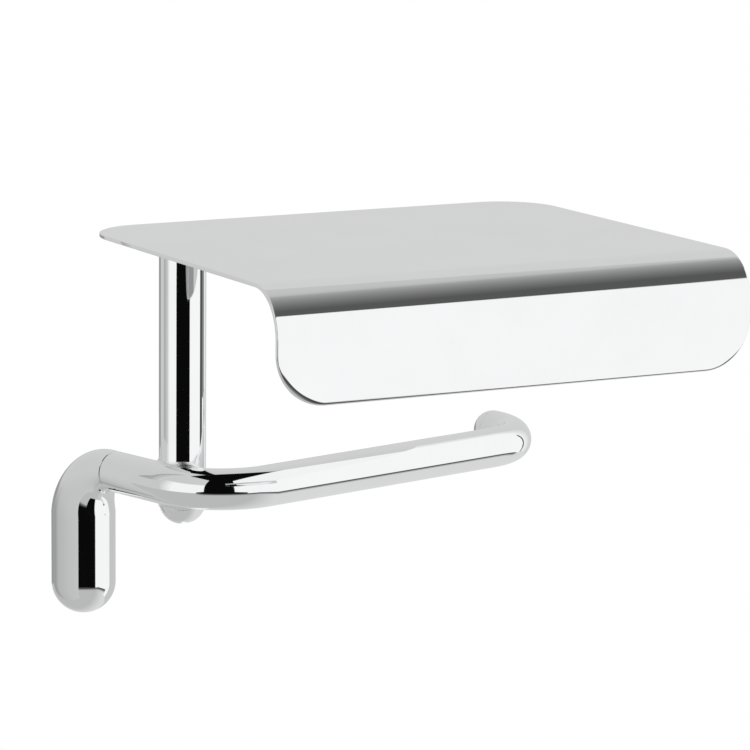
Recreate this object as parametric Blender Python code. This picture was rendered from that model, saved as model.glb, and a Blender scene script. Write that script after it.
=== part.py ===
"""Wall mounted toilet paper holder: open roll bar with a swivelling sheet metal cover.

Frame: the wall is the plane Y = 0 and the room is on the -Y side, X runs along the wall
towards the free end of the bar and Z points up. The origin is the middle of the flat face
that rests on the wall. All lengths below are metres.
"""
import math

import bmesh
import bpy
from mathutils import Matrix, Vector

# ------------------------------------------------------------------ driving dimensions
MM = 0.001
GAP = 0.2 * MM                  # clearance left between neighbouring pieces
RUN_GAP = 0.1 * MM              # clearance where one piece turns in another

ARM_Z = 25.5 * MM               # height of the arm axis above the origin
BAR_R = 6.5 * MM                # roll bar tube, outside
BAR_BORE = 5.4 * MM
BEND_R = 22.0 * MM              # centreline radius of both bends of the roll bar
BAR_Y = -70.8 * MM              # axis of the long leg
STUB_X = 141.6 * MM             # axis of the short return leg
SEAM_Y = -23.2 * MM             # joint line between wall body and roll bar

BODY_R = 10.3 * MM              # wall body, round section
BODY_Y = -7.0 * MM              # its upright axis
BODY_LOW = -38.5 * MM           # centre of its round lower end, below the arm axis
ELBOW_R = 15.4 * MM             # centreline radius of its elbow
POCKET_HALF = 5.3 * MM          # pocket that swallows the wall bracket
POCKET_TOP = -9.0 * MM          # below the arm axis
POCKET_LOW = -43.2 * MM
POCKET_DEPTH = 13.6 * MM

BRACKET_HALF = 4.9 * MM
BRACKET_T = 2.4 * MM
BRACKET_HOLE_R = 2.1 * MM
LUG_REACH = 11.0 * MM

POST_X = 6.5 * MM
POST_Y = -49.0 * MM
POST_R = 7.4 * MM
POST_BORE = 6.2 * MM
POST_LOW = -5.9 * MM            # below the arm axis, start of the dome
POST_TOP = 72.3 * MM            # above the arm axis

COVER_TOP = 78.0 * MM           # above the arm axis
COVER_T = 1.3 * MM
COVER_LEFT = -22.1 * MM         # from the post axis, square to the cover
COVER_RIGHT = 140.6 * MM
COVER_BACK = 28.6 * MM
COVER_FRONT = -107.5 * MM
COVER_BEND_R = 15.0 * MM        # outside of the front bend
COVER_DROP = 35.0 * MM          # height of the front flap, bend included
COVER_CORNER_R = 19.0 * MM      # corners next to the wall
FLAP_CORNER_R = 16.0 * MM       # lower corners of the flap
COVER_TURN = math.radians(-13.5)  # the cover rests swung a little away from the wall

SWIVEL_IN = math.radians(13.5)    # from rest until the cover is square to the wall
SWIVEL_OUT = math.radians(-76.5)  # from rest until it stands straight out
STOP_ORBIT = 4.3 * MM
STOP_R = 0.8 * MM

HUB_LOW = 73.5 * MM
HUB_TOP = 76.5 * MM
PIN_R = 3.0 * MM

ROUND = 44                      # facets round the big tubes
SMALL = 24                      # facets round the small fittings


# ------------------------------------------------------------------ materials
def material(name, rgb, metallic, roughness):
    mat = bpy.data.materials.new(name)
    mat.use_nodes = True
    shader = mat.node_tree.nodes["Principled BSDF"]
    shader.inputs["Base Color"].default_value = (*rgb, 1.0)
    shader.inputs["Metallic"].default_value = metallic
    shader.inputs["Roughness"].default_value = roughness
    mat.diffuse_color = (*rgb, 1.0)
    return mat


def chrome(name):
    return material(name, (0.86, 0.87, 0.88), 1.0, 0.05)


def zinc(name):
    return material(name, (0.62, 0.63, 0.65), 1.0, 0.35)


def steel(name):
    return material(name, (0.50, 0.50, 0.51), 1.0, 0.28)


def brass(name):
    return material(name, (0.78, 0.60, 0.28), 1.0, 0.30)


def plastic(name, rgb):
    return material(name, rgb, 0.0, 0.45)


# ------------------------------------------------------------------ mesh helpers
def clear_scene():
    for obj in list(bpy.data.objects):
        bpy.data.objects.remove(obj, do_unlink=True)


def make_object(name, verts, faces, mat=None, smooth=True):
    mesh = bpy.data.meshes.new(name)
    mesh.from_pydata([tuple(v) for v in verts], [], faces)
    bm = bmesh.new()
    bm.from_mesh(mesh)
    bmesh.ops.remove_doubles(bm, verts=bm.verts, dist=1e-7)
    bmesh.ops.recalc_face_normals(bm, faces=bm.faces)
    bm.to_mesh(mesh)
    bm.free()
    obj = bpy.data.objects.new(name, mesh)
    bpy.context.scene.collection.objects.link(obj)
    if mat is not None:
        mesh.materials.append(mat)
    if smooth:
        mesh.shade_smooth()
        mesh.set_sharp_from_angle(angle=math.radians(35))
    return obj


def ring_points(centre, u, v, radius, count):
    turn = 2.0 * math.pi / count
    return [centre + radius * (math.cos(turn * k) * u + math.sin(turn * k) * v) for k in range(count)]


def skin_rings(rings, start=None, end=None):
    """Faces that join rings of equal length, closed by a fan to a tip or by a flat cap."""
    verts = [p for ring in rings for p in ring]
    count = len(rings[0])
    faces = []
    for i in range(len(rings) - 1):
        for k in range(count):
            n = (k + 1) % count
            low, high = i * count, (i + 1) * count
            faces.append((low + k, low + n, high + n, high + k))
    for tip, first in ((start, 0), (end, (len(rings) - 1) * count)):
        if tip is None:
            faces.append(tuple(range(first, first + count)))
            continue
        verts.append(tip)
        faces += [(first + k, first + (k + 1) % count, len(verts) - 1) for k in range(count)]
    return verts, faces


def lathe(name, profile, mat, base, axis="Z", count=SMALL):
    """A closed (radius, height) outline turned about an axis through base. A radius of zero
    at either end of the outline closes the piece there with a point."""
    along = Vector((0, 0, 1)) if axis == "Z" else Vector((0, 1, 0))
    u = Vector((1, 0, 0))
    v = along.cross(u)
    inner = [p for p in profile if p[0] > 0]
    rings = [ring_points(base + along * h, u, v, r, count) for r, h in inner]
    if profile[0][0] > 0:
        verts = [p for ring in rings for p in ring]
        faces = []
        total = len(rings)
        for i in range(total):
            low, high = i * count, ((i + 1) % total) * count
            for k in range(count):
                n = (k + 1) % count
                faces.append((low + k, low + n, high + n, high + k))
    else:
        verts, faces = skin_rings(rings, base + along * profile[0][1], base + along * profile[-1][1])
    return make_object(name, verts, faces, mat)


def arc(centre, radius, start, stop, steps):
    """Points (radius, height) on a circle, angles in degrees measured from the radial direction."""
    out = []
    for k in range(steps + 1):
        angle = math.radians(start + (stop - start) * k / steps)
        out.append((centre[0] + radius * math.cos(angle), centre[1] + radius * math.sin(angle)))
    return out


def box(name, low, high):
    verts = [Vector((x, y, z)) for x in (low[0], high[0]) for y in (low[1], high[1]) for z in (low[2], high[2])]
    faces = [(0, 1, 3, 2), (4, 6, 7, 5), (0, 4, 5, 1), (2, 3, 7, 6), (0, 2, 6, 4), (1, 5, 7, 3)]
    return make_object(name, verts, faces, smooth=False)


def rod(name, start, end, radius, count=SMALL, turn=0.0):
    along = (end - start).normalized()
    u = along.orthogonal().normalized()
    u = Matrix.Rotation(turn, 3, along) @ u
    v = along.cross(u)
    rings = [ring_points(p, u, v, radius, count) for p in (start, end)]
    verts, faces = skin_rings(rings)
    return make_object(name, verts, faces)


def cut(obj, cutters, operation="DIFFERENCE"):
    """Boolean each cutter into the piece, bake the result and drop the cutters."""
    for tool in cutters:
        mod = obj.modifiers.new("cut", "BOOLEAN")
        mod.operation = operation
        mod.solver = "EXACT"
        mod.object = tool
        depsgraph = bpy.context.evaluated_depsgraph_get()
        baked = bpy.data.meshes.new_from_object(obj.evaluated_get(depsgraph))
        obj.modifiers.clear()
        old = obj.data
        obj.data = baked
        baked.name = old.name
        bpy.data.meshes.remove(old)
        bpy.data.objects.remove(tool, do_unlink=True)
    bm = bmesh.new()
    bm.from_mesh(obj.data)
    bmesh.ops.remove_doubles(bm, verts=bm.verts, dist=1e-6)
    bmesh.ops.dissolve_degenerate(bm, edges=bm.edges, dist=1e-6)
    bm.to_mesh(obj.data)
    bm.free()
    obj.data.shade_smooth()
    obj.data.set_sharp_from_angle(angle=math.radians(35))
    return obj


def set_origin(obj, point):
    """Move the origin of a piece without moving its shape."""
    obj.data.transform(Matrix.Translation(-point))
    obj.location = point
    return obj


def at(x, y, z):
    """A point given by its height over the arm axis."""
    return Vector((x, y, ARM_Z + z))


# ------------------------------------------------------------------ wall body
def elbow_radius(share):
    """Section of the wall body as it narrows through the elbow to the tube."""
    ease = share * share * (3.0 - 2.0 * share)
    return BODY_R + (BAR_R - BODY_R) * (0.55 * share + 0.45 * ease)


def wall_body():
    """Upright round body with a domed foot whose top turns forward and narrows to the arm."""
    side, depth, up = Vector((1, 0, 0)), Vector((0, 1, 0)), Vector((0, 0, 1))
    rings = []
    for k in range(1, 10):
        angle = math.radians(-90 + 10 * k)
        centre = at(0, BODY_Y, BODY_LOW + BODY_R * math.sin(angle))
        rings.append(ring_points(centre, side, depth, BODY_R * math.cos(angle), ROUND))
    steps = 18
    for k in range(steps + 1):
        share = k / steps
        angle = share * math.pi / 2
        centre = at(0, BODY_Y - ELBOW_R + ELBOW_R * math.cos(angle), -ELBOW_R + ELBOW_R * math.sin(angle))
        out = depth * math.cos(angle) + up * math.sin(angle)
        rings.append(ring_points(centre, side, out, elbow_radius(share), ROUND))
    rings.append(ring_points(at(0, SEAM_Y, 0), side, up, BAR_R, ROUND))
    verts, faces = skin_rings(rings, start=at(0, BODY_Y, BODY_LOW - BODY_R))
    body = make_object("wall_body", verts, faces, chrome("chrome_wall_body"))
    behind = box("cut_wall", at(-30 * MM, 0, -70 * MM), at(30 * MM, 30 * MM, 30 * MM))
    pocket = box("cut_pocket", at(-POCKET_HALF, -POCKET_DEPTH, POCKET_LOW), at(POCKET_HALF, 5 * MM, POCKET_TOP))
    stud_bore = rod("cut_stud", at(0, -9.0 * MM, 0), at(0, SEAM_Y - 5 * MM, 0), 2.7 * MM)
    lock_bore = rod("cut_lock", at(0, -12.0 * MM, POCKET_TOP - MM), at(0, -12.0 * MM, -1.0 * MM), 1.7 * MM)
    foot_bore = rod("cut_foot", at(0, BODY_Y, -55 * MM), at(0, BODY_Y, POCKET_LOW + MM), 1.7 * MM)
    return cut(body, [behind, pocket, stud_bore, lock_bore, foot_bore])


def wall_bracket():
    """Plate screwed to the wall, with a lug that the foot screw of the wall body bears on."""
    top, low = POCKET_TOP - 0.4 * MM, POCKET_LOW + 2.6 * MM
    plate = box("wall_bracket", at(-BRACKET_HALF, -BRACKET_T, low), at(BRACKET_HALF, 0, top))
    plate.data.materials.append(zinc("zinc_bracket"))
    lug = box("lug", at(-3.5 * MM, -LUG_REACH, low), at(3.5 * MM, -BRACKET_T / 2, low + 3.0 * MM))
    cut(plate, [lug], "UNION")
    holes = []
    for height in (-14.5 * MM, -32.5 * MM):
        holes.append(rod("hole", at(0, -5 * MM, height), at(0, MM, height), BRACKET_HOLE_R))
    return cut(plate, holes)


def grub_screw(name, low, length, radius):
    """Headless set screw standing upright with a hexagon socket in its lower end."""
    chamfer = 0.3 * MM
    profile = [
        (0, 0),
        (radius - chamfer, 0),
        (radius, chamfer),
        (radius, length - chamfer),
        (radius - chamfer, length),
        (0, length),
    ]
    screw = lathe(name, profile, steel("steel_" + name), low)
    socket = rod("socket", low - Vector((0, 0, MM)), low + Vector((0, 0, 1.8 * MM)), 0.85 * MM, 6)
    return cut(screw, [socket])


def arm_insert():
    """Brass plug soldered into the root of the arm, bored for the threaded stud."""
    profile = [
        (2.7 * MM, -35.0 * MM),
        (5.0 * MM, -35.0 * MM),
        (5.2 * MM, -34.6 * MM),
        (5.2 * MM, -23.8 * MM),
        (2.7 * MM, -23.8 * MM),
    ]
    return lathe("arm_insert", profile, brass("brass_insert"), at(0, 0, 0), axis="Y")


def arm_stud():
    """Threaded stud that joins the arm to the wall body."""
    profile = [
        (0, -36.0 * MM),
        (2.1 * MM, -36.0 * MM),
        (2.5 * MM, -35.6 * MM),
        (2.5 * MM, -9.7 * MM),
        (2.1 * MM, -9.3 * MM),
        (0, -9.3 * MM),
    ]
    return lathe("arm_stud", profile, steel("steel_stud"), at(0, 0, 0), axis="Y")


# ------------------------------------------------------------------ roll bar
def bar_path():
    """Centreline points and directions from the wall body to the end of the second bend."""
    points = [(at(0, SEAM_Y - GAP, 0), Vector((0, -1, 0)))]
    steps = 12
    for k in range(steps + 1):
        angle = math.radians(180 + 90 * k / steps)
        centre = at(BEND_R, BAR_Y + BEND_R, 0)
        spot = centre + BEND_R * Vector((math.cos(angle), math.sin(angle), 0))
        points.append((spot, Vector((-math.sin(angle), math.cos(angle), 0))))
    for k in range(steps + 1):
        angle = math.radians(-90 + 90 * k / steps)
        centre = at(STUB_X - BEND_R, BAR_Y + BEND_R, 0)
        spot = centre + BEND_R * Vector((math.cos(angle), math.sin(angle), 0))
        points.append((spot, Vector((-math.sin(angle), math.cos(angle), 0))))
    return points


def roll_bar():
    """Bent tube: arm, long leg and return, notched where the post is brazed into its corner."""
    up = Vector((0, 0, 1))
    outer, inner = [], []
    for spot, along in bar_path():
        side = along.cross(up)
        outer.append(ring_points(spot, side, up, BAR_R, ROUND))
        inner.append(ring_points(spot, side, up, BAR_BORE, ROUND))
    rings = outer + inner[::-1]
    count, total = len(rings[0]), len(rings)
    verts = [p for ring in rings for p in ring]
    faces = []
    for i in range(total):
        low, high = i * count, ((i + 1) % total) * count
        for k in range(count):
            n = (k + 1) % count
            faces.append((low + k, low + n, high + n, high + k))
    bar = make_object("roll_bar", verts, faces, chrome("chrome_roll_bar"))
    notch = rod("cut_post", at(POST_X, POST_Y, -20 * MM), at(POST_X, POST_Y, 20 * MM), POST_R + GAP, ROUND)
    return cut(bar, [notch])


def bar_end_cap():
    """Round end of the return leg with a spigot inside the tube."""
    face = BAR_Y + BEND_R + 0.1 * MM
    profile = [(0, -3.0 * MM), (4.7 * MM, -3.0 * MM), (5.0 * MM, -2.7 * MM), (5.0 * MM, 0)]
    profile += arc((0, 0), BAR_R, 0, 81, 9)
    profile.append((0, BAR_R))
    return lathe("bar_end_cap", profile, chrome("chrome_end_cap"), at(STUB_X, face, 0), "Y", ROUND)


# ------------------------------------------------------------------ post and its fittings
def post_tube():
    """Upright tube that carries the cover."""
    profile = [
        (POST_BORE, POST_LOW),
        (POST_R, POST_LOW),
        (POST_R, POST_TOP - 0.4 * MM),
        (POST_R - 0.4 * MM, POST_TOP),
        (POST_BORE, POST_TOP),
    ]
    return lathe("post_tube", profile, chrome("chrome_post"), at(POST_X, POST_Y, 0), count=ROUND)


def dome_cap():
    """Round foot of the post with a spigot inside the tube."""
    face = POST_LOW - 0.1 * MM
    profile = [(0, face - POST_R)]
    profile += arc((0, face), POST_R, -81, 0, 9)
    profile += [
        (POST_BORE - GAP, face),
        (POST_BORE - GAP, face + 4.6 * MM),
        (POST_BORE - 0.6 * MM, face + 5.0 * MM),
        (0, face + 5.0 * MM),
    ]
    return lathe("dome_cap", profile, chrome("chrome_dome"), at(POST_X, POST_Y, 0), count=ROUND)


def pivot_bush():
    """Bearing sleeve in the top of the post, recessed over the sector the stop pin sweeps."""
    low, top = 56.0 * MM, POST_TOP - GAP
    outer, inner = POST_BORE - GAP, PIN_R + RUN_GAP
    profile = [(inner, low), (outer - 0.4 * MM, low), (outer, low + 0.4 * MM), (outer, top), (inner, top)]
    bush = lathe("pivot_bush", profile, plastic("acetal_bush", (0.86, 0.86, 0.83)), at(POST_X, POST_Y, 0))
    margin = math.radians(15)
    start = COVER_TURN + SWIVEL_OUT - margin
    stop = COVER_TURN + SWIVEL_IN + margin
    steps = 12
    floor, lid = top - 2.4 * MM, top + MM
    verts, faces = [], []
    for k in range(steps + 1):
        angle = start + (stop - start) * k / steps
        ray = Vector((math.cos(angle), math.sin(angle), 0))
        for reach, height in ((2.9 * MM, floor), (5.3 * MM, floor), (5.3 * MM, lid), (2.9 * MM, lid)):
            verts.append(at(POST_X, POST_Y, height) + reach * ray)
    for k in range(steps):
        a, b = 4 * k, 4 * (k + 1)
        faces += [(a + j, a + (j + 1) % 4, b + (j + 1) % 4, b + j) for j in range(4)]
    faces += [(0, 1, 2, 3), tuple(4 * steps + j for j in range(4))]
    return cut(bush, [make_object("sector", verts, faces, smooth=False)])


def turned_ring(name, inner, outer, low, high, mat, count=SMALL):
    profile = [(inner, low), (outer, low), (outer, high), (inner, high)]
    return lathe(name, profile, mat, at(POST_X, POST_Y, 0), count=count)


def swivel_washer():
    mat = plastic("nylon_washer", (0.80, 0.80, 0.78))
    return turned_ring("swivel_washer", 5.4 * MM, 7.1 * MM, POST_TOP + GAP, HUB_LOW - GAP, mat, ROUND)


def pin_washer():
    return turned_ring("pin_washer", PIN_R + GAP, 5.7 * MM, 54.7 * MM, 55.8 * MM, steel("steel_washer"))


def pin_spring():
    """Disc spring that sets how stiffly the cover swings."""
    profile = [
        (PIN_R + GAP, 53.5 * MM),
        (5.6 * MM, 52.6 * MM),
        (5.6 * MM, 53.4 * MM),
        (PIN_R + GAP, 54.3 * MM),
    ]
    return lathe("pin_spring", profile, steel("steel_spring"), at(POST_X, POST_Y, 0))


def pin_nut():
    """Hexagon lock nut at the foot of the pivot pin."""
    low, high, across = 47.6 * MM, 52.2 * MM, 5.6 * MM
    start, end = at(POST_X, POST_Y, low), at(POST_X, POST_Y, high)
    nut = rod("pin_nut", start, end, across, 6)
    nut.data.materials.append(steel("steel_nut"))
    bore = rod("bore", start - Vector((0, 0, MM)), end + Vector((0, 0, MM)), PIN_R + GAP)
    return cut(nut, [bore])


def pivot_pin():
    """Threaded pin screwed into the hub of the cover."""
    low, top = 45.5 * MM, HUB_TOP - 0.1 * MM
    profile = [(0, low), (PIN_R - 0.4 * MM, low), (PIN_R, low + 0.4 * MM), (PIN_R, top), (0, top)]
    return lathe("pivot_pin", profile, steel("steel_pin"), at(POST_X, POST_Y, 0))


# ------------------------------------------------------------------ cover
def cover_hub():
    """Disc brazed under the cover, bored for the pivot pin and the stop pin."""
    profile = [
        (PIN_R + GAP, HUB_LOW),
        (POST_R - 0.3 * MM, HUB_LOW),
        (POST_R, HUB_LOW + 0.3 * MM),
        (POST_R, HUB_TOP),
        (PIN_R + GAP, HUB_TOP),
    ]
    hub = lathe("cover_hub", profile, chrome("chrome_hub"), at(POST_X, POST_Y, 0), count=ROUND)
    orbit = STOP_ORBIT * Vector((math.cos(COVER_TURN), math.sin(COVER_TURN), 0))
    low = at(POST_X, POST_Y, HUB_LOW - MM) + orbit
    return cut(hub, [rod("cut_stop", low, low + Vector((0, 0, 3.4 * MM)), STOP_R + 0.1 * MM, 16)])


def stop_pin():
    """Small dowel in the hub that limits the swing inside the bush."""
    orbit = STOP_ORBIT * Vector((math.cos(COVER_TURN), math.sin(COVER_TURN), 0))
    low = at(POST_X, POST_Y, 70.2 * MM) + orbit
    pin = rod("stop_pin", low, low + Vector((0, 0, 5.5 * MM)), STOP_R, 16)
    pin.data.materials.append(steel("steel_stop"))
    return pin


def cover_profile():
    """(depth, height, outward normal, developed length) along the sheet, outer face, back to front."""
    flat_end = COVER_FRONT + COVER_BEND_R
    stations = []
    for k in range(13):
        run = COVER_CORNER_R * (1 - math.cos(math.radians(7.5 * k)))
        stations.append((COVER_BACK - run, COVER_TOP, Vector((0, 0, 1)), run))
    flat = COVER_BACK - flat_end
    stations.append((flat_end, COVER_TOP, Vector((0, 0, 1)), flat))
    for k in range(1, 17):
        angle = math.radians(90 * k / 16)
        normal = Vector((0, -math.sin(angle), math.cos(angle)))
        depth = flat_end - COVER_BEND_R * math.sin(angle)
        height = COVER_TOP - COVER_BEND_R + COVER_BEND_R * math.cos(angle)
        stations.append((depth, height, normal, flat + COVER_BEND_R * angle))
    arc_end = flat + COVER_BEND_R * math.pi / 2
    flap = COVER_DROP - COVER_BEND_R
    for k in range(13):
        run = flap - FLAP_CORNER_R * (1 - math.sin(math.radians(7.5 * k)))
        height = COVER_TOP - COVER_BEND_R - run
        stations.append((COVER_FRONT, height, Vector((0, -1, 0)), arc_end + run))
    return stations, arc_end + flap


def cover_plate():
    """Sheet with a flat top, a rolled front edge and a hanging flap, all corners rounded."""
    stations, total = cover_profile()
    verts, faces = [], []
    for depth, height, normal, run in stations:
        inset = 0.0
        for reach, corner in ((run, COVER_CORNER_R), (total - run, FLAP_CORNER_R)):
            if reach < corner:
                inset = corner - math.sqrt(max(corner * corner - (corner - reach) ** 2, 0.0))
        outer = Vector((0, depth, height))
        under = outer - COVER_T * normal
        for x in (COVER_LEFT + inset, COVER_RIGHT - inset):
            verts += [Vector((x, outer.y, outer.z)), Vector((x, under.y, under.z))]
    for k in range(len(stations) - 1):
        a, b = 4 * k, 4 * (k + 1)
        faces += [
            (a, a + 2, b + 2, b),
            (a + 3, a + 1, b + 1, b + 3),
            (a + 1, a, b, b + 1),
            (a + 2, a + 3, b + 3, b + 2),
        ]
    last = 4 * (len(stations) - 1)
    faces += [(0, 1, 3, 2), (last, last + 2, last + 3, last + 1)]
    place = Matrix.Translation(at(POST_X, POST_Y, 0)) @ Matrix.Rotation(COVER_TURN, 4, "Z")
    verts = [place @ v for v in verts]
    return make_object("cover_plate", verts, faces, chrome("chrome_cover"))


def build():
    clear_scene()
    wall_body()
    wall_bracket()
    grub_screw("foot_screw", at(0, BODY_Y, -48.2 * MM), 7.2 * MM, 1.5 * MM)
    grub_screw("arm_lock_screw", at(0, -12.0 * MM, POCKET_TOP - 0.4 * MM), 6.6 * MM, 1.5 * MM)
    arm_insert()
    arm_stud()
    roll_bar()
    bar_end_cap()
    post_tube()
    dome_cap()
    pivot_bush()
    swivel_washer()
    axis = at(POST_X, POST_Y, HUB_LOW)
    for piece in (pin_washer(), pin_spring(), pin_nut(), pivot_pin(), cover_hub(), stop_pin(), cover_plate()):
        set_origin(piece, axis)


build()
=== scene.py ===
import math

import bmesh
import bpy
from mathutils import Matrix, Vector


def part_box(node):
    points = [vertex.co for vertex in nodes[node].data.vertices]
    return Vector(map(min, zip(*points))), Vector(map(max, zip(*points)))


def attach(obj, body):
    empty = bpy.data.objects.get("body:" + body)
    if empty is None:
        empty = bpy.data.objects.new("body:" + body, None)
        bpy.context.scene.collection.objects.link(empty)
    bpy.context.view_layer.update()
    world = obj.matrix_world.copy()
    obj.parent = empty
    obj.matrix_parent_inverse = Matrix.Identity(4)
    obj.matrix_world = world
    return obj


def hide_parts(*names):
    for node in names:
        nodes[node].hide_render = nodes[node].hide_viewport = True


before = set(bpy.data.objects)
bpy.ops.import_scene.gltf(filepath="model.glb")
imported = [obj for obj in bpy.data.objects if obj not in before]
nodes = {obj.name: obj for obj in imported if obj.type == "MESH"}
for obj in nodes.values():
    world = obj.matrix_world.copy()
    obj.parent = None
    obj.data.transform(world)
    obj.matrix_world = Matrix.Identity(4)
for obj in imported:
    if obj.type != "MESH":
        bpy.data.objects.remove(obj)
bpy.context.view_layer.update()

MM = 0.001
UP = Vector((0, 0, 1))

# ------------------------------------------------------------------ sizes read from the frame
body_low, body_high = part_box("wall_body")
bar_low, bar_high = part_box("roll_bar")
post_low, post_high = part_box("post_tube")
dome_low, dome_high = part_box("dome_cap")
hub_low, hub_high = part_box("cover_hub")
cover_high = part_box("cover_plate")[1]

BAR_R = (bar_high.z - bar_low.z) / 2
AXIS_Z = (bar_high.z + bar_low.z) / 2
BAR_Y = bar_low.y + BAR_R
STUB_X = bar_high.x - BAR_R
ARM_ROOT = bar_high.y
SEAM_Y = body_low.y
BODY_R = body_high.x
FOOT_Z = body_low.z + BODY_R
POST_R = (post_high.x - post_low.x) / 2
PIVOT = Vector(((post_low.x + post_high.x) / 2, (post_low.y + post_high.y) / 2, 0))

BEND_R = 22.0 * MM              # centreline radius of both bends of the roll bar
BAR_BORE = 5.4 * MM
BODY_Y = -7.0 * MM              # upright axis of the wall body
ELBOW_R = 15.4 * MM
POCKET_HALF = 5.3 * MM
POCKET_TOP = AXIS_Z - 9.0 * MM
POCKET_LOW = AXIS_Z - 43.2 * MM
POCKET_DEPTH = 13.6 * MM
FOOT_BORE = 1.7 * MM
FILLET_R = 1.3 * MM             # brazing round the foot of the post

COVER_TURN = math.radians(-13.5)
COVER_T = 1.3 * MM
COVER_BEND_R = 15.0 * MM
BACK_CORNER_R = 19.0 * MM
FLAP_CORNER_R = 16.0 * MM

ROUND = 128


# ------------------------------------------------------------------ node helpers
def link(tree, value, socket):
    if isinstance(value, bpy.types.NodeSocket):
        tree.links.new(value, socket)
    else:
        socket.default_value = value


def math_node(tree, operation, a, b=None, c=None, clamp=False):
    node = tree.nodes.new("ShaderNodeMath")
    node.operation = operation
    node.use_clamp = clamp
    for value, socket in zip((a, b, c), node.inputs):
        if value is not None:
            link(tree, value, socket)
    return node.outputs[0]


def remap(tree, value, low, high, to_low, to_high, kind="LINEAR"):
    node = tree.nodes.new("ShaderNodeMapRange")
    node.interpolation_type = kind
    for item, socket in zip((value, low, high, to_low, to_high), node.inputs):
        link(tree, item, socket)
    return node.outputs[0]


def noise(tree, vector, scale, detail=3.0, roughness=0.5):
    node = tree.nodes.new("ShaderNodeTexNoise")
    tree.links.new(vector, node.inputs["Vector"])
    node.inputs["Scale"].default_value = scale
    node.inputs["Detail"].default_value = detail
    node.inputs["Roughness"].default_value = roughness
    return node.outputs[0]


def stretched(tree, vector, scale):
    node = tree.nodes.new("ShaderNodeVectorMath")
    node.operation = "MULTIPLY"
    tree.links.new(vector, node.inputs[0])
    node.inputs[1].default_value = scale
    return node.outputs[0]


def colour_mix(tree, factor, a, b):
    node = tree.nodes.new("ShaderNodeMix")
    node.data_type = "RGBA"
    link(tree, factor, node.inputs["Factor"])
    link(tree, (*a, 1.0), node.inputs["A"])
    link(tree, (*b, 1.0), node.inputs["B"])
    return node.outputs["Result"]


def bump(tree, height, strength, distance):
    node = tree.nodes.new("ShaderNodeBump")
    node.inputs["Strength"].default_value = strength
    node.inputs["Distance"].default_value = distance
    tree.links.new(height, node.inputs["Height"])
    return node.outputs["Normal"]


def new_material(name, metallic):
    mat = bpy.data.materials.new(name)
    mat.use_nodes = True
    tree = mat.node_tree
    shader = tree.nodes["Principled BSDF"]
    shader.inputs["Metallic"].default_value = metallic
    coords = tree.nodes.new("ShaderNodeTexCoord").outputs["Object"]
    return mat, tree, shader, coords


def edge_wear(tree):
    """Zero on plain surface, one on the sharpest outer edges."""
    pointiness = tree.nodes.new("ShaderNodeNewGeometry").outputs["Pointiness"]
    return remap(tree, pointiness, 0.53, 0.62, 0.0, 1.0)


# ------------------------------------------------------------------ materials
def chrome(name, grain, tint=(0.915, 0.92, 0.925), satin=0.0):
    """Bright plating: hazy patches, hair scratches along the grain, rubbed edges. satin adds to
    the roughness, for a joint that is only brushed."""
    mat, tree, shader, coords = new_material(name, 1.0)
    patches = noise(tree, coords, 38.0, 4.0, 0.55)
    wiped = noise(tree, stretched(tree, coords, grain), 1.0, 5.0, 0.65)
    specks = noise(tree, coords, 2600.0, 2.0, 0.5)
    worn = edge_wear(tree)
    haze = remap(tree, patches, 0.35, 0.75, satin + 0.012, satin + 0.05)
    streaks = remap(tree, wiped, 0.55, 0.8, 0.0, 0.035)
    rubbed = math_node(tree, "MULTIPLY", worn, 0.12)
    total = math_node(tree, "ADD", math_node(tree, "ADD", haze, streaks), rubbed, clamp=True)
    tree.links.new(total, shader.inputs["Roughness"])
    shade = remap(tree, patches, 0.3, 0.8, 0.0, 1.0)
    dull = tuple(0.965 * v for v in tint)
    tree.links.new(colour_mix(tree, shade, tint, dull), shader.inputs["Base Color"])
    relief = math_node(tree, "MULTIPLY_ADD", wiped, 0.6, math_node(tree, "MULTIPLY", specks, 0.15))
    tree.links.new(bump(tree, relief, 0.02, 0.00002), shader.inputs["Normal"])
    return mat


def metal(name, light, dark, grain, rough_low, rough_high, relief_depth):
    """Turned or cast metal: tool marks along the grain, darker in the hollows."""
    mat, tree, shader, coords = new_material(name, 1.0)
    patches = noise(tree, coords, 220.0, 4.0, 0.6)
    marks = noise(tree, stretched(tree, coords, grain), 1.0, 4.0, 0.6)
    worn = edge_wear(tree)
    tree.links.new(colour_mix(tree, patches, dark, light), shader.inputs["Base Color"])
    rough = remap(tree, marks, 0.3, 0.7, rough_low, rough_high)
    softer = math_node(tree, "MULTIPLY_ADD", worn, -0.12, rough, clamp=True)
    tree.links.new(softer, shader.inputs["Roughness"])
    relief = math_node(tree, "ADD", marks, patches)
    tree.links.new(bump(tree, relief, 0.35, relief_depth), shader.inputs["Normal"])
    return mat


def moulded(name, light, dark):
    """Moulded plastic: faint flow marks, fine satin grain, polish where it rubs."""
    mat, tree, shader, coords = new_material(name, 0.0)
    shader.inputs["Subsurface Weight"].default_value = 0.12
    shader.inputs["Subsurface Radius"].default_value = (0.002, 0.002, 0.0016)
    shader.inputs["Subsurface Scale"].default_value = 0.5
    flow = noise(tree, stretched(tree, coords, (90.0, 90.0, 420.0)), 1.0, 4.0, 0.55)
    grain = noise(tree, coords, 3800.0, 3.0, 0.6)
    worn = edge_wear(tree)
    tree.links.new(colour_mix(tree, flow, dark, light), shader.inputs["Base Color"])
    rough = remap(tree, grain, 0.3, 0.7, 0.34, 0.52)
    polished = math_node(tree, "MULTIPLY_ADD", worn, -0.15, rough, clamp=True)
    tree.links.new(polished, shader.inputs["Roughness"])
    tree.links.new(bump(tree, grain, 0.2, 0.00003), shader.inputs["Normal"])
    return mat


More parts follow.
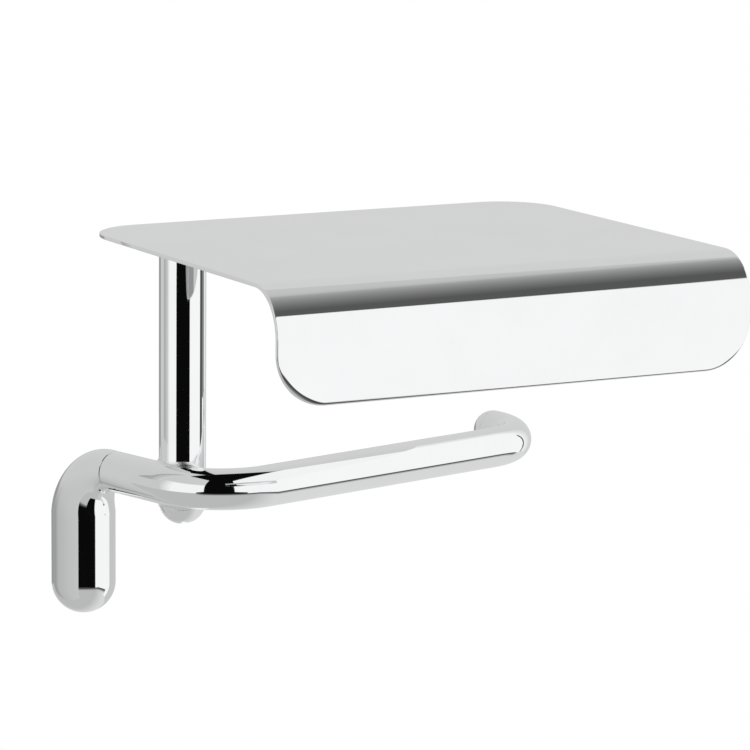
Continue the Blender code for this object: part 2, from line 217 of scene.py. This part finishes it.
ACROSS = (900.0, 60.0, 900.0)    # hair scratches run along Y
ALONG_X = (60.0, 900.0, 900.0)
UPRIGHT = (900.0, 900.0, 60.0)
RINGED = (260.0, 260.0, 4200.0)  # tool marks round Z, then round Y
RINGED_Y = (260.0, 4200.0, 260.0)
SANDY = (300.0, 300.0, 300.0)


# ------------------------------------------------------------------ mesh helpers
def make_piece(name, verts, faces, mat, crease=30.0):
    mesh = bpy.data.meshes.new(name)
    mesh.from_pydata([tuple(v) for v in verts], [], faces)
    bm = bmesh.new()
    bm.from_mesh(mesh)
    bmesh.ops.remove_doubles(bm, verts=bm.verts, dist=1e-8)
    bmesh.ops.recalc_face_normals(bm, faces=bm.faces)
    bm.to_mesh(mesh)
    bm.free()
    piece = bpy.data.objects.new(name, mesh)
    bpy.context.scene.collection.objects.link(piece)
    if mat is not None:
        mesh.materials.append(mat)
    mesh.shade_smooth()
    mesh.set_sharp_from_angle(angle=math.radians(crease))
    return piece


def ring(centre, u, v, radius, count=ROUND):
    step = 2 * math.pi / count
    turns = [step * k for k in range(count)]
    return [centre + radius * (math.cos(turn) * u + math.sin(turn) * v) for turn in turns]


def skin(rings, closed=False):
    """Quads between rings of equal length. Closed joins the last ring to the first, else both ends
    get a flat cap."""
    count, total = len(rings[0]), len(rings)
    verts = [p for one in rings for p in one]
    faces = []
    for i in range(total if closed else total - 1):
        low, high = i * count, ((i + 1) % total) * count
        for k in range(count):
            n = (k + 1) % count
            faces.append((low + k, low + n, high + n, high + k))
    if not closed:
        faces.append(tuple(range(count)))
        faces.append(tuple(range((total - 1) * count, total * count)))
    return verts, faces


def arc(centre, radius, start, stop, steps):
    """Points (radius, height) on a circle, angles in degrees from the radial direction."""
    out = []
    for k in range(steps + 1):
        angle = math.radians(start + (stop - start) * k / steps)
        out.append((centre[0] + radius * math.cos(angle), centre[1] + radius * math.sin(angle)))
    return out


def turned(name, outline, base, mat, along=UP, count=ROUND, closed=False):
    """A (radius, height) outline turned about an axis through base. A closed outline is a ring,
    an open one runs from the axis to the axis and closes there."""
    u = Vector((1, 0, 0))
    v = along.cross(u)
    inner = [p for p in outline if p[0] > 0]
    rings = [ring(base + along * h, u, v, r, count) for r, h in inner]
    if closed:
        verts, faces = skin(rings, closed=True)
        return make_piece(name, verts, faces, mat)
    verts, faces = skin(rings)
    faces = faces[:-2]
    for height, first in ((outline[0][1], 0), (outline[-1][1], (len(rings) - 1) * count)):
        verts.append(base + along * height)
        faces += [(first + k, first + (k + 1) % count, len(verts) - 1) for k in range(count)]
    return make_piece(name, verts, faces, mat)


def finish_piece(piece, body, slot, *stands_for):
    """What the piece rides on and the CAD nodes it stands for, which are hidden. The slot argument is
    not used.
    """
    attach(piece, body)
    if stands_for:
        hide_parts(*stands_for)


# ------------------------------------------------------------------ wall body
def elbow_radius(share):
    """The elbow narrows from the body's radius to the bar's, softly at both ends."""
    ease = share * share * (3.0 - 2.0 * share)
    return BODY_R + (BAR_R - BODY_R) * (0.55 * share + 0.45 * ease)


def cut_box(name, low, high):
    xs, ys, zs = zip(low, high)
    verts = [Vector((x, y, z)) for x in xs for y in ys for z in zs]
    faces = [(0, 1, 3, 2), (4, 6, 7, 5), (0, 4, 5, 1), (2, 3, 7, 6), (0, 2, 6, 4), (1, 5, 7, 3)]
    return make_piece(name, verts, faces, None)


def subtract(piece, tool):
    """Cuts the tool out of the piece and deletes the tool."""
    mod = piece.modifiers.new("pocket", "BOOLEAN")
    mod.operation = "DIFFERENCE"
    mod.solver = "EXACT"
    mod.object = tool
    depsgraph = bpy.context.evaluated_depsgraph_get()
    baked = bpy.data.meshes.new_from_object(piece.evaluated_get(depsgraph))
    piece.modifiers.clear()
    piece.data = baked
    bpy.data.objects.remove(tool, do_unlink=True)
    baked.shade_smooth()
    baked.set_sharp_from_angle(angle=math.radians(30))


def wall_body():
    """Domed foot, upright, elbow and seam in one skin, cut flat at the wall and pocketed behind."""
    side, depth = Vector((1, 0, 0)), Vector((0, 1, 0))
    foot = Vector((0, BODY_Y, FOOT_Z))
    rings = []
    bore_angle = math.degrees(math.asin(FOOT_BORE / BODY_R))
    rings.append(ring(Vector((0, BODY_Y, POCKET_LOW + 1 * MM)), side, depth, FOOT_BORE))
    rings.append(ring(foot + UP * (0.3 * MM - BODY_R * math.cos(math.radians(bore_angle))),
                      side, depth, FOOT_BORE))
    steps = 44
    for k in range(steps + 1):
        angle = math.radians(-90 + bore_angle + (90 - bore_angle) * k / steps)
        rings.append(ring(foot + UP * BODY_R * math.sin(angle), side, depth, BODY_R * math.cos(angle)))
    bend = Vector((0, BODY_Y - ELBOW_R, AXIS_Z - ELBOW_R))
    for height in (foot.z + 0.3 * MM, bend.z - 0.3 * MM):
        rings.append(ring(Vector((0, BODY_Y, height)), side, depth, BODY_R))
    steps = 56
    for k in range(steps + 1):
        angle = k / steps * math.pi / 2
        out = depth * math.cos(angle) + UP * math.sin(angle)
        rings.append(ring(bend + ELBOW_R * out, side, out, elbow_radius(k / steps)))
    for reach, radius in ((0.35 * MM, BAR_R), (0.1 * MM, BAR_R), (0, BAR_R - 0.1 * MM)):
        rings.append(ring(Vector((0, SEAM_Y + reach, AXIS_Z)), side, UP, radius))
    verts, faces = skin(rings)
    piece = make_piece("wall_body_shell", verts, faces, chrome("chrome_wall_body", UPRIGHT))
    bm = bmesh.new()
    bm.from_mesh(piece.data)
    parts = bm.verts[:] + bm.edges[:] + bm.faces[:]
    cut = bmesh.ops.bisect_plane(bm, geom=parts, dist=1e-7, plane_co=(0, 0, 0), plane_no=(0, 1, 0),
                                 clear_outer=True)
    rim = [e for e in cut["geom_cut"] if isinstance(e, bmesh.types.BMEdge)]
    bmesh.ops.contextual_create(bm, geom=rim)
    bmesh.ops.recalc_face_normals(bm, faces=bm.faces)
    bm.to_mesh(piece.data)
    bm.free()
    subtract(piece, cut_box("pocket_tool", (-POCKET_HALF, -POCKET_DEPTH, POCKET_LOW),
                            (POCKET_HALF, 5 * MM, POCKET_TOP)))
    finish_piece(piece, "holder", "chrome", "wall_body")


# ------------------------------------------------------------------ roll bar
def bar_stations():
    """Centreline points and directions, close together in the bends."""
    out = []
    ahead = Vector((0, -1, 0))
    start = BAR_Y + BEND_R
    for y in (ARM_ROOT - 0.3 * MM, start + 0.4 * MM):
        out.append((Vector((0, y, AXIS_Z)), ahead))
    steps = 60
    for centre_x, first in ((BEND_R, 180), (STUB_X - BEND_R, 270)):
        centre = Vector((centre_x, start, AXIS_Z))
        if first == 270:
            for x in (BEND_R + 0.4 * MM, STUB_X - BEND_R - 0.4 * MM):
                out.append((Vector((x, BAR_Y, AXIS_Z)), Vector((1, 0, 0))))
        for k in range(steps + 1):
            angle = math.radians(first + 90 * k / steps)
            out_dir = Vector((math.cos(angle), math.sin(angle), 0))
            out.append((centre + BEND_R * out_dir, Vector((-math.sin(angle), math.cos(angle), 0))))
    return out


def roll_bar():
    rings = []
    lip = 0.1 * MM
    stations = bar_stations()
    root = Vector((0, ARM_ROOT, AXIS_Z))
    first_dir = Vector((0, -1, 0))
    side = first_dir.cross(UP)
    rings.append(ring(root, side, UP, BAR_R - lip))
    rings.append(ring(root + first_dir * lip, side, UP, BAR_R))
    for spot, along in stations:
        rings.append(ring(spot, along.cross(UP), UP, BAR_R))
    for spot, along in reversed(stations):
        rings.append(ring(spot, along.cross(UP), UP, BAR_BORE))
    rings.append(ring(root, side, UP, BAR_BORE))
    verts, faces = skin(rings, closed=True)
    piece = make_piece("roll_bar_tube", verts, faces, chrome("chrome_roll_bar", ALONG_X))
    finish_piece(piece, "holder", "chrome", "roll_bar")


def bar_end():
    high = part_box("bar_end_cap")[1]
    face = BAR_Y + BEND_R + 0.03 * MM
    tip = high.y - BAR_R
    outline = [(0, -3.0 * MM), (4.7 * MM, -3.0 * MM), (5.0 * MM, -2.7 * MM), (5.0 * MM, 0)]
    outline += [(BAR_R, 0), (BAR_R, tip - face)]
    outline += arc((0, tip - face), BAR_R, 1.5, 88.5, 58)
    outline.append((0, high.y - face))
    base = Vector((STUB_X, face, AXIS_Z))
    piece = turned("bar_end_dome", outline, base, chrome("chrome_bar_end", ACROSS), Vector((0, 1, 0)))
    finish_piece(piece, "holder", "chrome", "bar_end_cap")


# ------------------------------------------------------------------ post
def post():
    bore = POST_R - 1.2 * MM
    edge = 0.4 * MM
    low, high = post_low.z, post_high.z
    outline = [(bore, low), (POST_R - 0.05 * MM, low), (POST_R, low + 0.05 * MM)]
    outline += [(POST_R, low + 0.4 * MM), (POST_R, high - edge - 0.3 * MM)]
    outline += arc((POST_R - edge, high - edge), edge, 0, 90, 8)
    outline += [(bore, high)]
    piece = turned("post_sleeve", outline, PIVOT, chrome("chrome_post", UPRIGHT), closed=True)
    finish_piece(piece, "holder", "chrome", "post_tube")


def post_foot():
    face = post_low.z - 0.04 * MM
    centre = dome_low.z + POST_R
    spigot = POST_R - 1.4 * MM
    outline = [(0, dome_low.z)]
    outline += arc((0, centre), POST_R, -88.5, 0, 58)
    outline += [(POST_R, face - 0.02 * MM), (spigot, face), (spigot, face + 4.6 * MM)]
    outline += [(spigot - 0.4 * MM, dome_high.z), (0, dome_high.z)]
    piece = turned("post_dome", outline, PIVOT, chrome("chrome_post_dome", UPRIGHT))
    finish_piece(piece, "holder", "chrome", "dome_cap")


def nearest_on_bar(point):
    """Closest point of the bar's centreline, on its arm or in its first bend."""
    start = BAR_Y + BEND_R
    if point.y >= start:
        return Vector((0, point.y, AXIS_Z))
    centre = Vector((BEND_R, start, AXIS_Z))
    flat = Vector((point.x, point.y, AXIS_Z)) - centre
    return centre + flat.normalized() * BEND_R


def brazing():
    """Small hollow fillet where post and bar meet: the path of a ball rolled round the corner."""
    reach = POST_R + FILLET_R
    touch = BAR_R + FILLET_R

    def level_gap(angle):
        spot = PIVOT + reach * Vector((math.cos(angle), math.sin(angle), 0)) + UP * AXIS_Z
        return touch - (spot - nearest_on_bar(spot)).length

    def edge_angle(inside, outside):
        for _ in range(60):
            middle = (inside + outside) / 2
            if level_gap(middle) > 0:
                inside = middle
            else:
                outside = middle
        return inside

    first = edge_angle(math.pi, math.radians(20))
    last = edge_angle(math.pi, math.radians(330))
    middle, half = (first + last) / 2, (last - first) / 2
    rings = []
    count, steps = 240, 12
    for i in range(count):
        t = 2 * math.pi * (i + 0.5) / count
        angle = middle + half * math.sin(t)
        out = Vector((math.cos(angle), math.sin(angle), 0))
        flat = PIVOT + reach * out + UP * AXIS_Z
        near = nearest_on_bar(flat)
        level = (flat - near).length
        rise = math.sqrt(max(touch * touch - level * level, 0)) * (1 if math.cos(t) > 0 else -1)
        ball = flat + UP * rise
        to_post = -out
        to_bar = (near - ball).normalized()
        sweep = to_post.angle(to_bar)
        axis = to_post.cross(to_bar).normalized()
        section = []
        for k in range(steps + 1):
            ray = Matrix.Rotation(sweep * k / steps, 3, axis) @ to_post
            section.append(ball + ray * FILLET_R)
        inward = (to_post + to_bar).normalized()
        section.append(ball + inward * (FILLET_R / max(math.cos(sweep / 2), 0.35) + 0.5 * MM))
        rings.append(section)
    verts, faces = skin(rings, closed=True)
    mat = chrome("chrome_fillet", UPRIGHT, satin=0.3)
    finish_piece(make_piece("brazed_fillet", verts, faces, mat, 40.0), "holder", "chrome")


# ------------------------------------------------------------------ cover
def cover_hub():
    low, high = hub_low.z, hub_high.z
    bore = 3.2 * MM
    edge = 0.3 * MM
    outline = [(bore, low), (POST_R - edge, low)]
    outline += arc((POST_R - edge, low + edge), edge, -78, 0, 6)
    outline += [(POST_R, low + 2 * edge), (POST_R, high - 0.2 * MM)]
    outline += [(POST_R - 0.15 * MM, high), (bore, high)]
    piece = turned("cover_boss", outline, PIVOT, chrome("chrome_boss", UPRIGHT), closed=True)
    finish_piece(piece, "cover", "chrome", "cover_hub")


def cover_local():
    """Corners of the sheet in its own frame, turned back square about the post."""
    back = Matrix.Rotation(-COVER_TURN, 3, "Z")
    spots = [back @ (v.co - PIVOT) for v in nodes["cover_plate"].data.vertices]
    low = Vector([min(p[i] for p in spots) for i in range(3)])
    high = Vector([max(p[i] for p in spots) for i in range(3)])
    return low, high


def cover_section(low, high):
    """Maps developed length and depth under the outer face to (y, z) in the cover's own frame."""
    flat = (high.y - low.y) - COVER_BEND_R
    bend = COVER_BEND_R * math.pi / 2

    def place(run, depth):
        if run <= flat:
            return high.y - run, high.z - depth
        if run <= flat + bend:
            angle = (run - flat) / COVER_BEND_R
            radius = COVER_BEND_R - depth
            return (low.y + COVER_BEND_R - radius * math.sin(angle),
                    high.z - COVER_BEND_R + radius * math.cos(angle))
        return low.y + depth, high.z - COVER_BEND_R - (run - flat - bend)

    flap = (high.z - low.z) - COVER_BEND_R
    return place, flat, bend, flat + bend + flap


def cover_plate():
    low, high = cover_local()
    place, flat, bend, total = cover_section(low, high)
    edge = 0.3 * MM
    rim = [(edge * (1 - math.sin(a)), edge * (1 - math.cos(a)))
           for a in [math.radians(90 * k / 6) for k in range(7)]]
    roll_wide, roll_side, roll_corner = 2.2 * MM, 0.07 * MM, 0.13 * MM
    rim = [(roll_wide * share, 0.0) for share in (1.0, 0.85, 0.7, 0.55, 0.4, 0.27)] + rim
    rim += [(inset, COVER_T - depth) for inset, depth in reversed(rim)]
    support = 0.3 * MM
    middle = [BACK_CORNER_R + support]
    middle += [flat - support]
    middle += [flat + bend * k / 60 for k in range(61)]
    flap_start = total - FLAP_CORNER_R
    middle += [flat + bend + support, flap_start - support]
    corner_steps = 40

    def outline(inset):
        """Rows of run, pull from the side and how far the rim rolls back there."""
        rows = []
        for k in range(corner_steps + 1):
            angle = math.pi / 2 * k / corner_steps
            radius = BACK_CORNER_R - inset
            rows.append((BACK_CORNER_R - radius * math.cos(angle),
                         BACK_CORNER_R - radius * math.sin(angle), 0.0))
        for run in middle:
            share = min(max((run - flat - bend) / (flap_start - flat - bend), 0.0), 1.0)
            rows.append((run, inset, roll_side * share))
        for k in range(corner_steps + 1):
            angle = math.pi / 2 * k / corner_steps
            radius = FLAP_CORNER_R - inset
            rows.append((flap_start + radius * math.sin(angle),
                         FLAP_CORNER_R - radius * math.cos(angle),
                         roll_side + roll_corner * math.sin(2 * angle) ** 2))
        return rows

    verts, faces = [], []
    loops = []
    for inset, depth in rim:
        rolled = (1 - inset / roll_wide) ** 2 if depth < COVER_T / 2 else 0.0
        rows = outline(inset)
        left = [(low.x + pull, *place(run, depth + rolled * roll)) for run, pull, roll in rows]
        right = [(high.x - pull, *place(run, depth + rolled * roll)) for run, pull, roll in rows]
        loop = left + right[::-1]
        loops.append(list(range(len(verts), len(verts) + len(loop))))
        verts += [Vector(p) for p in loop]
    size = len(loops[0])
    for a, b in zip(loops, loops[1:]):
        for k in range(size):
            n = (k + 1) % size
            faces.append((a[k], a[n], b[n], b[k]))
    half = size // 2
    for loop in (loops[0], loops[-1]):
        for k in range(half - 1):
            faces.append((loop[k], loop[k + 1], loop[size - 2 - k], loop[size - 1 - k]))
    spin = Matrix.Translation(PIVOT) @ Matrix.Rotation(COVER_TURN, 4, "Z")
    verts = [spin @ v for v in verts]
    piece = make_piece("cover_sheet", verts, faces, chrome("chrome_cover", ALONG_X), 50.0)
    finish_piece(piece, "cover", "chrome", "cover_plate")


# ------------------------------------------------------------------ carried over fittings
def dress(names, mat):
    """A better material on CAD nodes whose shape is right."""
    for name in names:
        node = nodes[name]
        node.data.materials.clear()
        node.data.materials.append(mat)


def fittings():
    zinc = metal("zinc_cast", (0.66, 0.67, 0.70), (0.46, 0.47, 0.50), SANDY, 0.28, 0.5, 0.08 * MM)
    steel = metal("steel_turned", (0.62, 0.62, 0.63), (0.42, 0.42, 0.43), RINGED, 0.18, 0.38, 0.06 * MM)
    brass = metal("brass_turned", (0.83, 0.66, 0.34), (0.62, 0.46, 0.20), RINGED_Y, 0.2, 0.4, 0.06 * MM)
    acetal = moulded("acetal_natural", (0.88, 0.88, 0.85), (0.80, 0.80, 0.76))
    nylon = moulded("nylon_natural", (0.84, 0.84, 0.81), (0.76, 0.76, 0.72))
    dress(["wall_bracket"], zinc)
    dress(["foot_screw", "arm_lock_screw", "arm_stud", "pivot_pin", "pin_washer", "pin_spring",
           "pin_nut", "stop_pin"], steel)
    dress(["arm_insert"], brass)
    dress(["pivot_bush"], acetal)
    dress(["swivel_washer"], nylon)


# ------------------------------------------------------------------ camera, studio
AZIMUTH = math.radians(-42.109)
PITCH = math.radians(10.230)
ROLL = math.radians(0.565)
CAMERA_AT = Vector((-0.819567, -1.052709, 0.294470))
CAMERA_LENS = 202.517
TOWARD = Vector((math.sin(AZIMUTH), -math.cos(AZIMUTH), 0))     # level, from the object to the camera
SIDEWAYS = Vector((math.cos(AZIMUTH), math.sin(AZIMUTH), 0))    # level, to the camera's right


DARK = 0.003                                                    # unlit opening before the piece
FLOOR_AT = Vector((0, -0.1, -0.7))
FLOOR_R = 1.6


def camera():
    """Long lens, looking down the bearing the outlines were fitted to."""
    data = bpy.data.cameras.new("camera")
    data.sensor_width = 36.0
    data.lens = CAMERA_LENS
    data.clip_end = 100.0
    cam = bpy.data.objects.new("camera", data)
    bpy.context.scene.collection.objects.link(cam)
    back = TOWARD * math.cos(PITCH) + UP * math.sin(PITCH)
    up = back.cross(SIDEWAYS)
    right = SIDEWAYS * math.cos(ROLL) + up * math.sin(ROLL)
    up = up * math.cos(ROLL) - SIDEWAYS * math.sin(ROLL)
    cam.matrix_world = Matrix.LocRotScale(
        CAMERA_AT,
        Matrix((right, up, back)).transposed(),
        None,
    )
    bpy.context.scene.camera = cam


def window(tree, value, low, high, soft):
    """One inside low to high, zero outside, with soft borders."""
    over_low = math_node(tree, "SUBTRACT", value, low)
    over_high = math_node(tree, "SUBTRACT", value, high)
    rise = remap(tree, over_low, -soft, soft, 0.0, 1.0, "SMOOTHSTEP")
    fall = remap(tree, over_high, -soft, soft, 1.0, 0.0, "SMOOTHSTEP")
    return math_node(tree, "MULTIPLY", rise, fall)


def above(tree, value, edge, soft):
    """One where the value is over the edge, zero under it, with a soft border."""
    gap = math_node(tree, "SUBTRACT", value, edge)
    return remap(tree, gap, -soft, soft, 0.0, 1.0, "SMOOTHSTEP")


def blend_value(tree, base, over, mask):
    """base where the mask is zero, over where it is one."""
    node = tree.nodes.new("ShaderNodeMix")
    node.data_type = "FLOAT"
    link(tree, mask, node.inputs["Factor"])
    link(tree, base, node.inputs["A"])
    link(tree, over, node.inputs["B"])
    return node.outputs["Result"]


def studio():
    """Soft panels left and right, a dark opening between them, pale walls, floor, dim ceiling.
    It is painted by turn, the bearing in degrees from TOWARD to the right, and rise, the height
    above level in degrees. Camera and diffuse rays see plain white."""
    world = bpy.data.worlds.new("studio")
    bpy.context.scene.world = world
    world.use_nodes = True
    tree = world.node_tree
    tree.nodes.clear()
    direction = tree.nodes.new("ShaderNodeTexCoord").outputs["Generated"]

    def along(axis):
        node = tree.nodes.new("ShaderNodeVectorMath")
        node.operation = "DOT_PRODUCT"
        tree.links.new(direction, node.inputs[0])
        node.inputs[1].default_value = axis
        return node.outputs["Value"]

    toward, sideways, height = along(TOWARD), along(SIDEWAYS), along(UP)
    turn = math_node(tree, "ARCTAN2", sideways, toward)
    turn = math_node(tree, "MULTIPLY", turn, 180 / math.pi)
    rise = math_node(tree, "MULTIPLY", math_node(tree, "ARCSINE", height), 180 / math.pi)

    def level(value, stops):
        """A curve of brightness over a value from -1 to 1."""
        ramp = tree.nodes.new("ShaderNodeValToRGB")
        while len(ramp.color_ramp.elements) < len(stops):
            ramp.color_ramp.elements.new(0.5)
        for element, (place, bright) in zip(ramp.color_ramp.elements, stops):
            element.position = (place + 1) / 2
            element.color = (bright, bright, bright, 1)
        tree.links.new(remap(tree, value, -1.0, 1.0, 0.0, 1.0), ramp.inputs[0])
        return ramp.outputs[0]

    walls = ((-1.0, 0.62), (0.02, 0.68), (0.06, 0.64), (0.17, 0.60), (0.30, 0.57), (0.345, 0.52),
             (0.37, 0.40), (0.43, 0.31), (0.50, 0.23), (0.57, 0.16), (0.64, 0.10), (1.0, 0.10))
    light = level(sideways, walls)
    ground = remap(tree, turn, 55.0, 90.0, -14.0, -23.0)
    standing = above(tree, rise, ground, 0.6)

    def patch(light, value, turns, mask, soft):
        mask = math_node(tree, "MULTIPLY", window(tree, turn, *turns, soft), mask)
        return blend_value(tree, light, value, mask)

    ceiling = remap(tree, turn, 72.0, 95.0, 38.5, 50.0)
    under_ceiling = math_node(tree, "SUBTRACT", 1.0, above(tree, rise, ceiling, 0.7))
    fading = remap(tree, turn, 127.0, 150.0, 1.01, 0.68)
    left_light = remap(tree, turn, -82.0, -62.0, 0.62, 0.99)
    light = patch(light, left_light, (-95, -15), window(tree, rise, -30, 31, 3.0), 2.0)
    light = patch(light, fading, (16, 190), under_ceiling, 0.6)
    gap_light = remap(tree, turn, 108.0, 122.0, 0.08, 0.30)
    light = patch(light, gap_light, (97, 129), window(tree, rise, -12.6, -7.6, 0.4), 1.5)
    light = patch(light, 0.10, (125.5, 129.0), window(tree, rise, -30, 24, 3.0), 0.8)
    light = patch(light, 0.34, (-181, -130), window(tree, rise, -30, 2, 3.0), 3.0)
    opening = (remap(tree, rise, -9.0, -4.0, -28.0, -18.0),
               remap(tree, rise, -9.0, -4.0, 38.0, 21.0))
    light = patch(light, DARK, opening, window(tree, rise, -40, 60, 1.0), 0.6)

    depth = math_node(tree, "SUBTRACT", ground, rise)
    ground_light = remap(tree, along(Vector((1, 0, 0))), 0.1, 0.6, 0.53, 0.74)
    lit = remap(tree, depth, 1.5, 11.0, 0.0, 1.0, "SMOOTHSTEP")
    near = blend_value(tree, 0.06, ground_light, lit)
    front = window(tree, turn, -26, 118, 8.0)
    floor_light = blend_value(tree, ground_light, near, front)
    light = blend_value(tree, floor_light, light, standing)

    rays = tree.nodes.new("ShaderNodeLightPath")
    light = blend_value(tree, light, 1.0, rays.outputs["Is Camera Ray"])
    light = blend_value(tree, light, 1.0, rays.outputs["Is Diffuse Ray"])
    background = tree.nodes.new("ShaderNodeBackground")
    tree.links.new(light, background.inputs["Color"])
    output = tree.nodes.new("ShaderNodeOutputWorld")
    tree.links.new(background.outputs[0], output.inputs["Surface"])


def stage_card(name, corner, across, up, paint, faces=1):
    """A panel that glows on one side, across x up or the opposite for faces -1, and shows in
    reflections only. paint gives its brightness from its own two coordinates, each 0 to 1."""
    verts = [corner, corner + across, corner + across + up, corner + up]
    order = (0, 1, 2, 3) if faces > 0 else (0, 3, 2, 1)
    spots = ((0, 0), (1, 0), (1, 1), (0, 1))
    mesh = bpy.data.meshes.new(name)
    mesh.from_pydata([tuple(v) for v in verts], [], [order])
    layer = mesh.uv_layers.new(name="place")
    for item, k in zip(layer.data, order):
        item.uv = spots[k]
    card = bpy.data.objects.new(name, mesh)
    bpy.context.scene.collection.objects.link(card)
    mat = bpy.data.materials.new(name)
    mat.use_nodes = True
    tree = mat.node_tree
    tree.nodes.clear()
    split = tree.nodes.new("ShaderNodeSeparateXYZ")
    tree.links.new(tree.nodes.new("ShaderNodeTexCoord").outputs["UV"], split.inputs[0])
    glow = tree.nodes.new("ShaderNodeEmission")
    tree.links.new(paint(tree, split.outputs[0], split.outputs[1]), glow.inputs["Strength"])
    clear = tree.nodes.new("ShaderNodeBsdfTransparent")
    either = tree.nodes.new("ShaderNodeMixShader")
    tree.links.new(tree.nodes.new("ShaderNodeNewGeometry").outputs["Backfacing"], either.inputs[0])
    tree.links.new(glow.outputs[0], either.inputs[1])
    tree.links.new(clear.outputs[0], either.inputs[2])
    output = tree.nodes.new("ShaderNodeOutputMaterial")
    tree.links.new(either.outputs[0], output.inputs["Surface"])
    mesh.materials.append(mat)
    card.visible_camera = False
    card.visible_diffuse = False
    card.visible_shadow = False


def ramp_of(tree, value, stops):
    """A soft curve through (value, brightness) pairs with rising values."""
    result = stops[0][1]
    for (start, _), (end, bright) in zip(stops, stops[1:]):
        mask = remap(tree, value, start, end, 0.0, 1.0, "SMOOTHSTEP")
        result = blend_value(tree, result, bright, mask)
    return result


def panels():
    """Small panels close to the piece, which shape the reflections in the post, body and bar."""
    axis = AXIS_Z / MM

    def upright(name, x, y_range, z_range, stops, faces=1):
        """A panel square to X, painted by its Y in millimetres. It glows towards +X for faces 1."""
        start, end = y_range
        low, high = z_range
        stage_card(name, Vector((x, start, low)) * MM, Vector((0, end - start, 0)) * MM,
                   UP * (high - low) * MM,
                   lambda tree, a, b: ramp_of(tree, remap(tree, a, 0.0, 1.0, start, end), stops),
                   faces)

    upright("left_of_post", -20, (-42, -24), (axis + 9, axis + 80),
            ((-42, 0.66), (-36, 0.55), (-28, 0.42)))

    stub = STUB_X / MM
    upright("right_of_stub", stub + 16, (-104, -79.5), (axis - 16, axis - 1),
            ((-104, 1.01), (-79.5, 1.01)), -1)

    def beside_body(tree, a, b):
        y = remap(tree, a, 0.0, 1.0, -22, 60)
        across = ramp_of(tree, y, ((-22, 0.60), (-14, 0.58), (0, 0.52), (20, 0.36)))
        upper = remap(tree, b, 0.45, 0.66, 0.0, 1.0, "SMOOTHSTEP")
        return blend_value(tree, across, 0.63, upper)

    stage_card("left_of_body", Vector((-20, -22, axis - 64)) * MM, Vector((0, 82, 0)) * MM,
               UP * 100 * MM, beside_body)
    upright("right_of_body", 24, (-36, 10), (axis - 64, axis + 12),
            ((-36, 1.0), (-26, 1.0), (-24.5, 0.6)), -1)

    foot = FOOT_Z / MM - 6.5
    stage_card("before_body", Vector((22, -40, foot)) * MM, Vector((-40, 0, 0)) * MM,
               UP * (axis - 9.0 - foot) * MM,
               lambda tree, a, b: ramp_of(tree, a, ((0.56, 1.0), (0.59, DARK))))

    low, high = cover_local()
    left, right = low.x / MM - 9, high.x / MM - 2
    front, rear = (low.y + COVER_BEND_R / 2) / MM, high.y / MM - 2

    # Painted reflection of the cover's underside: this card glows 1.5 mm under the sheet, facing down,
    # so the bar reflects its bright, dark and grey areas where the underside would show.
    def sheet(tree, a, b):
        x = remap(tree, a, 0.0, 1.0, left, right)
        y = remap(tree, b, 0.0, 1.0, rear, front)
        slope = remap(tree, x, 0.0, 82.0, -75.0, -4.0)
        drop = remap(tree, x, -6.0, 4.0, -60.0, 0.0)
        edge = math_node(tree, "ADD", slope, drop)
        before = math_node(tree, "SUBTRACT", y, edge)
        bright = blend_value(tree, 0.98, DARK, above(tree, before, 0.0, 1.5))
        return blend_value(tree, bright, 0.66, above(tree, y, -4.0, 2.0))

    turn = Matrix.Rotation(COVER_TURN, 3, "Z")
    corner = PIVOT + turn @ Vector((left, rear, 0)) * MM
    corner.z = cover_high.z - COVER_T - 1.5 * MM
    stage_card("painted_reflection_under_cover", corner, turn @ Vector((right - left, 0, 0)) * MM,
               turn @ Vector((0, front - rear, 0)) * MM, sheet)


def floor():
    """Pale disc under the piece, kept out of the reflections, where the studio paints the ground."""
    mesh = bpy.data.meshes.new("floor")
    count = 96
    points = ring(FLOOR_AT, Vector((1, 0, 0)), Vector((0, 1, 0)), FLOOR_R, count)
    mesh.from_pydata([tuple(p) for p in points], [], [tuple(range(count))])
    slab = bpy.data.objects.new("floor", mesh)
    bpy.context.scene.collection.objects.link(slab)
    mat, tree, shader, coords = new_material("pale_floor", 0.0)
    shader.inputs["Roughness"].default_value = 0.8
    shader.inputs["Specular IOR Level"].default_value = 0.0
    mottle = noise(tree, coords, 6.0, 4.0, 0.5)
    shade = colour_mix(tree, mottle, (0.74, 0.74, 0.735), (0.70, 0.70, 0.70))
    tree.links.new(shade, shader.inputs["Base Color"])
    mesh.materials.append(mat)
    slab.visible_glossy = False


def key_light():
    data = bpy.data.lights.new("key", "AREA")
    data.shape = "DISK"
    data.size = 0.8
    data.energy = 4.0
    lamp = bpy.data.objects.new("key", data)
    bpy.context.scene.collection.objects.link(lamp)
    lamp.location = TOWARD * 0.9 + SIDEWAYS * 0.7 + UP * 1.1
    lamp.rotation_euler = lamp.location.to_track_quat("Z", "Y").to_euler()
    lamp.visible_glossy = False


wall_body()
roll_bar()
bar_end()
post()
post_foot()
brazing()
cover_hub()
cover_plate()
fittings()
camera()
studio()
panels()
floor()
key_light()
bpy.context.scene.view_settings.view_transform = "Standard"
